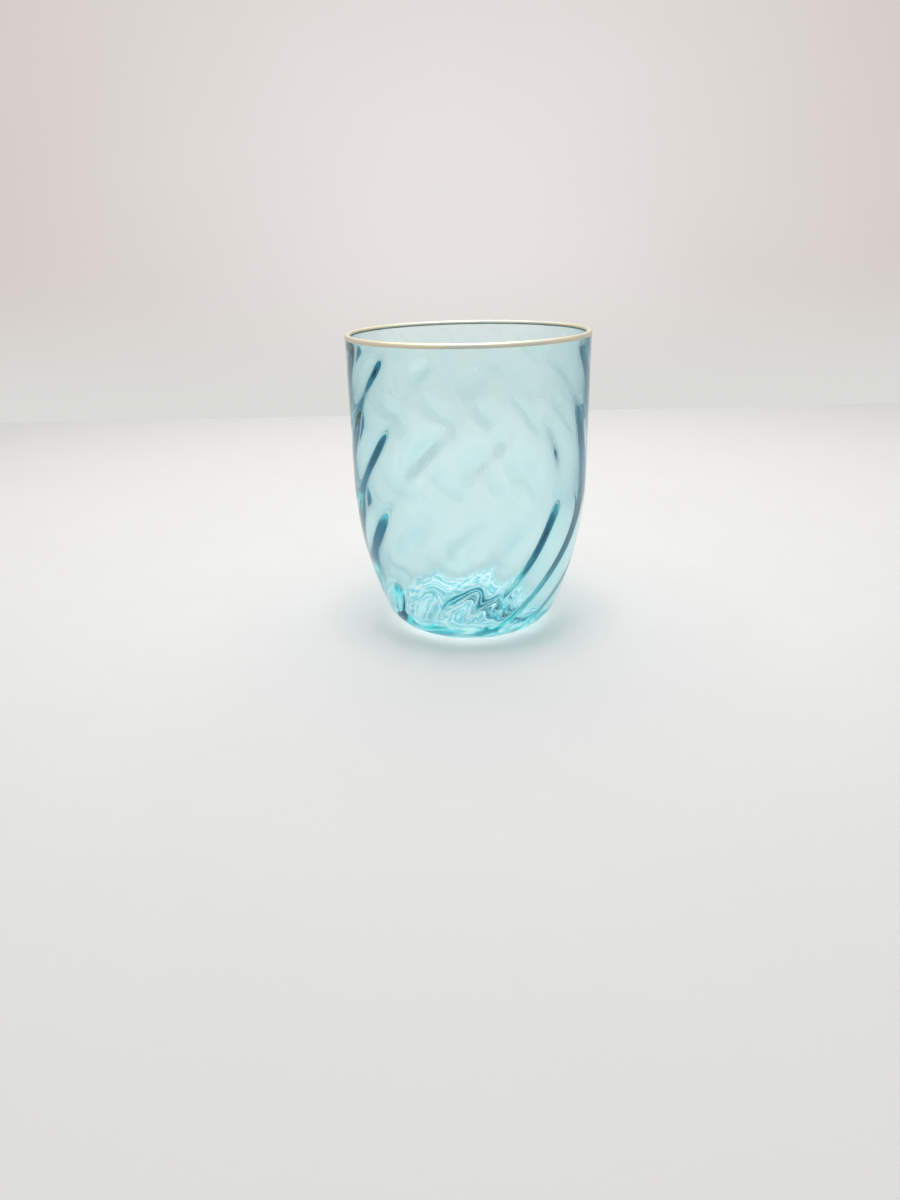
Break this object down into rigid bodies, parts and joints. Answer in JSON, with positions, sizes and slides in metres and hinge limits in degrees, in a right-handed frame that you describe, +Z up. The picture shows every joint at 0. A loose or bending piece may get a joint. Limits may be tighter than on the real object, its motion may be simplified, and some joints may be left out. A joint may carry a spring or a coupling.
{
  "type": "tumbler",
  "caption": "Rounded aqua drinking tumbler of blown glass with leaning optic ribs inside and a gilded lip.",
  "frame": {"origin": "middle of the foot, on the table", "axes": "+Z up along the axis of the glass, out of its mouth"},
  "size_m": [0.08, 0.08, 0.1],
  "materials": {
    "aqua_glass": "clear blown glass, fire polished, tinted aqua through its thickness",
    "gilding": "thin pale gold, brushed on by hand and fired, slightly uneven"
  },
  "bodies": {
    "root": {"glass_body": "aqua_glass", "gilded_rim": "gilding"}
  },
  "joints": []
}
